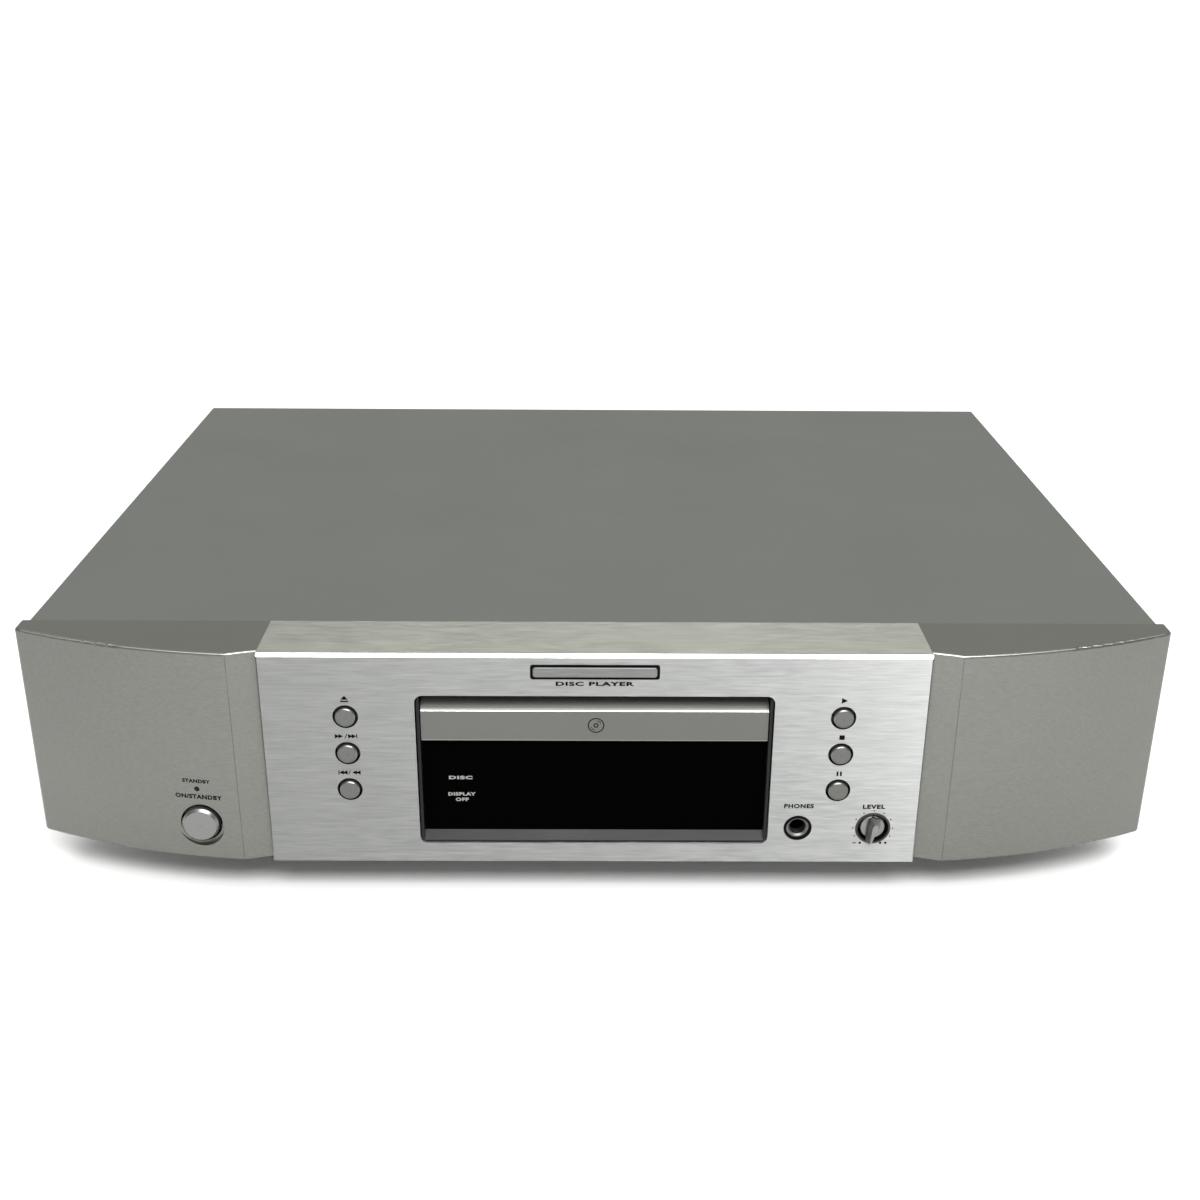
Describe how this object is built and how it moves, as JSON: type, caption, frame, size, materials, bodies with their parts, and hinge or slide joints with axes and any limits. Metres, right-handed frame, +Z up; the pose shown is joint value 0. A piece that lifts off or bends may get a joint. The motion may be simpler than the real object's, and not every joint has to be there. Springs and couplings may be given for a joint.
{
  "type": "cd player",
  "caption": "Full-width hi-fi disc player with a sliding disc tray, bowed silver front, round keys, headphone jack, level knob and detachable mains inlet.",
  "frame": {"origin": "on the floor under the centre of the bounding box", "axes": "+Z up, the front panel faces -Y, +X to the right as seen from the front"},
  "size_m": [0.44, 0.341, 0.1044],
  "materials": {
    "zinc_steel": "zinc plated sheet",
    "rear_paint": "matt black paint",
    "cover_paint": "satin silver paint",
    "screw_steel": "plated",
    "jack_plating": "plated",
    "jack_plastic": "coloured rings",
    "black_plastic": "matt",
    "foot_plastic": "satin",
    "pad_rubber": "matt",
    "panel_aluminium": "brushed, anodised",
    "wing_paint": "satin silver paint on a moulding",
    "bezel_plastic": "dark grey gloss",
    "window_gloss": "black gloss, see-through when lit",
    "circuit_board": "solder mask",
    "tube_glass": "dark glass tube",
    "lamp_plastic": "dark lens",
    "button_paint": "satin silver paint, bright rim",
    "power_button_paint": "satin silver paint, bright rim",
    "jack_ring_metal": "dull nickel",
    "knob_metal": "satin silver",
    "core_steel": "varnished laminations",
    "winding_copper": "taped winding",
    "capacitor_sleeve": "shrunk sleeve",
    "sink_aluminium": "black anodised",
    "drive_plastic": "moulded",
    "puck_plastic": "moulded",
    "motor_can": "drawn can",
    "gear_plastic": "acetal",
    "belt_rubber": "matt",
    "tray_plastic": "fine grain",
    "door_paint": "satin silver, polished edge",
    "deck_steel": "plated sheet",
    "pickup_metal": "die cast"
  },
  "bodies": {
    "case": {"chassis_base": "zinc_steel", "front_plate": "zinc_steel", "rear_panel": "rear_paint", "top_cover": "cover_paint", "cover_screws": "screw_steel", "phono_shells": "jack_plating", "phono_insulators": "jack_plastic", "optical_socket": "black_plastic", "mains_inlet": "black_plastic", "inlet_pins": "jack_plating", "feet": "foot_plastic", "foot_pads": "pad_rubber", "foot_screws": "screw_steel", "centre_panel": "panel_aluminium", "right_wing": "wing_paint", "left_wing": "wing_paint", "window_bezel": "bezel_plastic", "display_window": "window_gloss", "display_board": "circuit_board", "display_tube": "tube_glass", "left_key_board": "circuit_board", "right_key_board": "circuit_board", "power_key_board": "circuit_board", "key_switches": "black_plastic", "standby_light": "lamp_plastic", "headphone_jack": "black_plastic", "headphone_ring": "jack_ring_metal", "level_control": "black_plastic", "main_circuit_board": "circuit_board", "power_supply_board": "circuit_board", "board_standoffs": "screw_steel", "transformer_core": "core_steel", "transformer_winding": "winding_copper", "filter_capacitors": "capacitor_sleeve", "heat_sink": "sink_aluminium", "drive_frame": "drive_plastic", "clamp_bridge": "zinc_steel", "loading_motor": "motor_can", "drive_belt": "belt_rubber"},
    "tray": {"disc_tray": "tray_plastic", "tray_door": "door_paint"},
    "drive_wheel": {"drive_gear": "gear_plastic"},
    "idler": {"pulley_gear": "gear_plastic"},
    "motor_shaft": {"motor_pulley": "gear_plastic"},
    "cam": {"cam_slider": "gear_plastic"},
    "deck": {"traverse_deck": "deck_steel", "spindle_motor": "motor_can", "sled_motor": "motor_can"},
    "disc_hub": {"turntable": "puck_plastic"},
    "pickup": {"optical_pickup": "pickup_metal"},
    "sled_wheel": {"sled_gear": "gear_plastic"},
    "puck": {"clamp_puck": "puck_plastic"},
    "knob": {"level_knob": "knob_metal"},
    "power_key": {"power_button": "power_button_paint"},
    "open_key": {"open_button": "button_paint"},
    "next_key": {"next_button": "button_paint"},
    "previous_key": {"previous_button": "button_paint"},
    "play_key": {"play_button": "button_paint"},
    "stop_key": {"stop_button": "button_paint"},
    "pause_key": {"pause_button": "button_paint"}
  },
  "joints": [
    {"name": "tray_slide", "type": "slide", "parent": "case", "child": "tray", "axis": [0, -1, 0], "range_m": [0, 0.138]},
    {"name": "drive_wheel_spin", "type": "hinge", "parent": "case", "child": "drive_wheel", "pos_m": [-0.042, -0.124, 0.066], "axis": [0, 0, 1], "range_deg": [0, 990]},
    {"name": "idler_spin", "type": "hinge", "parent": "case", "child": "idler", "pos_m": [-0.02, -0.124, 0.062], "axis": [0, 0, 1], "range_deg": [-2640, 0]},
    {"name": "motor_spin", "type": "hinge", "parent": "case", "child": "motor_shaft", "pos_m": [0.012, -0.131, 0.06], "axis": [0, 0, 1], "range_deg": [-10560, 0]},
    {"name": "deck_tilt", "type": "hinge", "parent": "case", "child": "deck", "pos_m": [0, 0.012, 0.06], "axis": [1, 0, 0], "range_deg": [0, 3.43]},
    {"name": "cam_slide", "type": "slide", "parent": "case", "child": "cam", "axis": [1, 0, 0], "range_m": [0, 0.01802]},
    {"name": "disc_spin", "type": "hinge", "parent": "deck", "child": "disc_hub", "pos_m": [0, -0.092, 0.07], "axis": [0, 0, 1], "continuous": true},
    {"name": "puck_spin", "type": "hinge", "parent": "case", "child": "puck", "pos_m": [0, -0.092, 0.088], "axis": [0, 0, 1], "continuous": true},
    {"name": "pickup_slide", "type": "slide", "parent": "deck", "child": "pickup", "axis": [0, 1, 0], "range_m": [0, 0.034]},
    {"name": "sled_spin", "type": "hinge", "parent": "deck", "child": "sled_wheel", "pos_m": [0.027, -0.051, 0.066], "axis": [0, 0, 1], "range_deg": [-325, 0]},
    {"name": "level_turn", "type": "hinge", "parent": "case", "child": "knob", "pos_m": [0.1074, -0.16, 0.0312], "axis": [0, 1, 0], "range_deg": [0, 315]},
    {"name": "power_press", "type": "slide", "parent": "case", "child": "power_key", "axis": [0, 1, 0], "range_m": [0, 0.0008], "stiffness_N_per_m": 800, "springref_m": -0.0006},
    {"name": "open_press", "type": "slide", "parent": "case", "child": "open_key", "axis": [0, 1, 0], "range_m": [0, 0.0008], "stiffness_N_per_m": 600, "springref_m": -0.0006},
    {"name": "next_press", "type": "slide", "parent": "case", "child": "next_key", "axis": [0, 1, 0], "range_m": [0, 0.0008], "stiffness_N_per_m": 600, "springref_m": -0.0006},
    {"name": "previous_press", "type": "slide", "parent": "case", "child": "previous_key", "axis": [0, 1, 0], "range_m": [0, 0.0008], "stiffness_N_per_m": 600, "springref_m": -0.0006},
    {"name": "play_press", "type": "slide", "parent": "case", "child": "play_key", "axis": [0, 1, 0], "range_m": [0, 0.0008], "stiffness_N_per_m": 600, "springref_m": -0.0006},
    {"name": "stop_press", "type": "slide", "parent": "case", "child": "stop_key", "axis": [0, 1, 0], "range_m": [0, 0.0008], "stiffness_N_per_m": 600, "springref_m": -0.0006},
    {"name": "pause_press", "type": "slide", "parent": "case", "child": "pause_key", "axis": [0, 1, 0], "range_m": [0, 0.0008], "stiffness_N_per_m": 600, "springref_m": -0.0006}
  ],
  "couplings": [
    {"joint": "drive_wheel_spin", "follows": "tray_slide", "rad_per_m": 125},
    {"joint": "idler_spin", "follows": "tray_slide", "rad_per_m": -333.33},
    {"joint": "motor_spin", "follows": "tray_slide", "rad_per_m": -1333.3},
    {"joint": "cam_slide", "follows": "deck_tilt", "m_per_rad": 0.30068},
    {"joint": "puck_spin", "follows": "disc_spin", "ratio": 1},
    {"joint": "sled_spin", "follows": "pickup_slide", "rad_per_m": -166.67}
  ]
}
